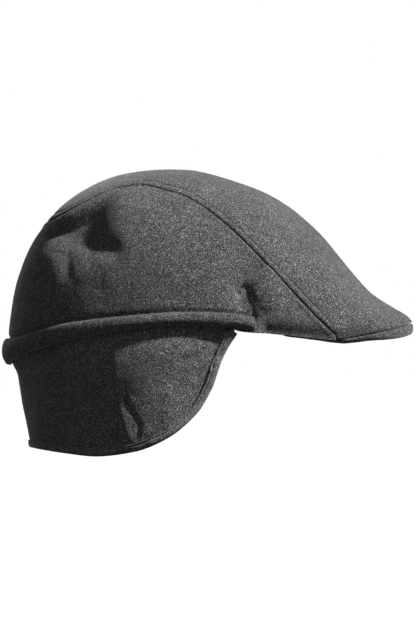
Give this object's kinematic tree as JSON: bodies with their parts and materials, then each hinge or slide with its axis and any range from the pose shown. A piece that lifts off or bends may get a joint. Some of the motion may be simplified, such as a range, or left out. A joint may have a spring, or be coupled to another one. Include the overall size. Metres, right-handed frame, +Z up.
{
  "type": "earflap cap",
  "caption": "Wool cap with a short covered peak, a rolled lower edge and a bound flap that hangs round the back and over both ears.",
  "frame": {"origin": "middle of the head opening, level with the rim over the ears", "axes": "+X forwards over the peak, +Y to the wearer's left, +Z up"},
  "size_m": [0.2857, 0.1772, 0.1988],
  "materials": {
    "crown_wool": "thick felted wool, charcoal with fine pale flecks, no shine",
    "cuff_wool": "the same wool bent over the lower edge",
    "peak_wool": "the same wool stretched over a stiff board",
    "flap_wool": "the same wool, a little browner, with soft creases",
    "binding_wool": "folded wool edge, a little lighter, with a dark stitch line beside it"
  },
  "bodies": {
    "root": {"top_panel": "crown_wool", "side_panel_right": "crown_wool", "side_panel_left": "crown_wool", "rolled_cuff": "cuff_wool", "peak": "peak_wool", "ear_flap": "flap_wool", "flap_binding": "binding_wool"}
  },
  "joints": []
}
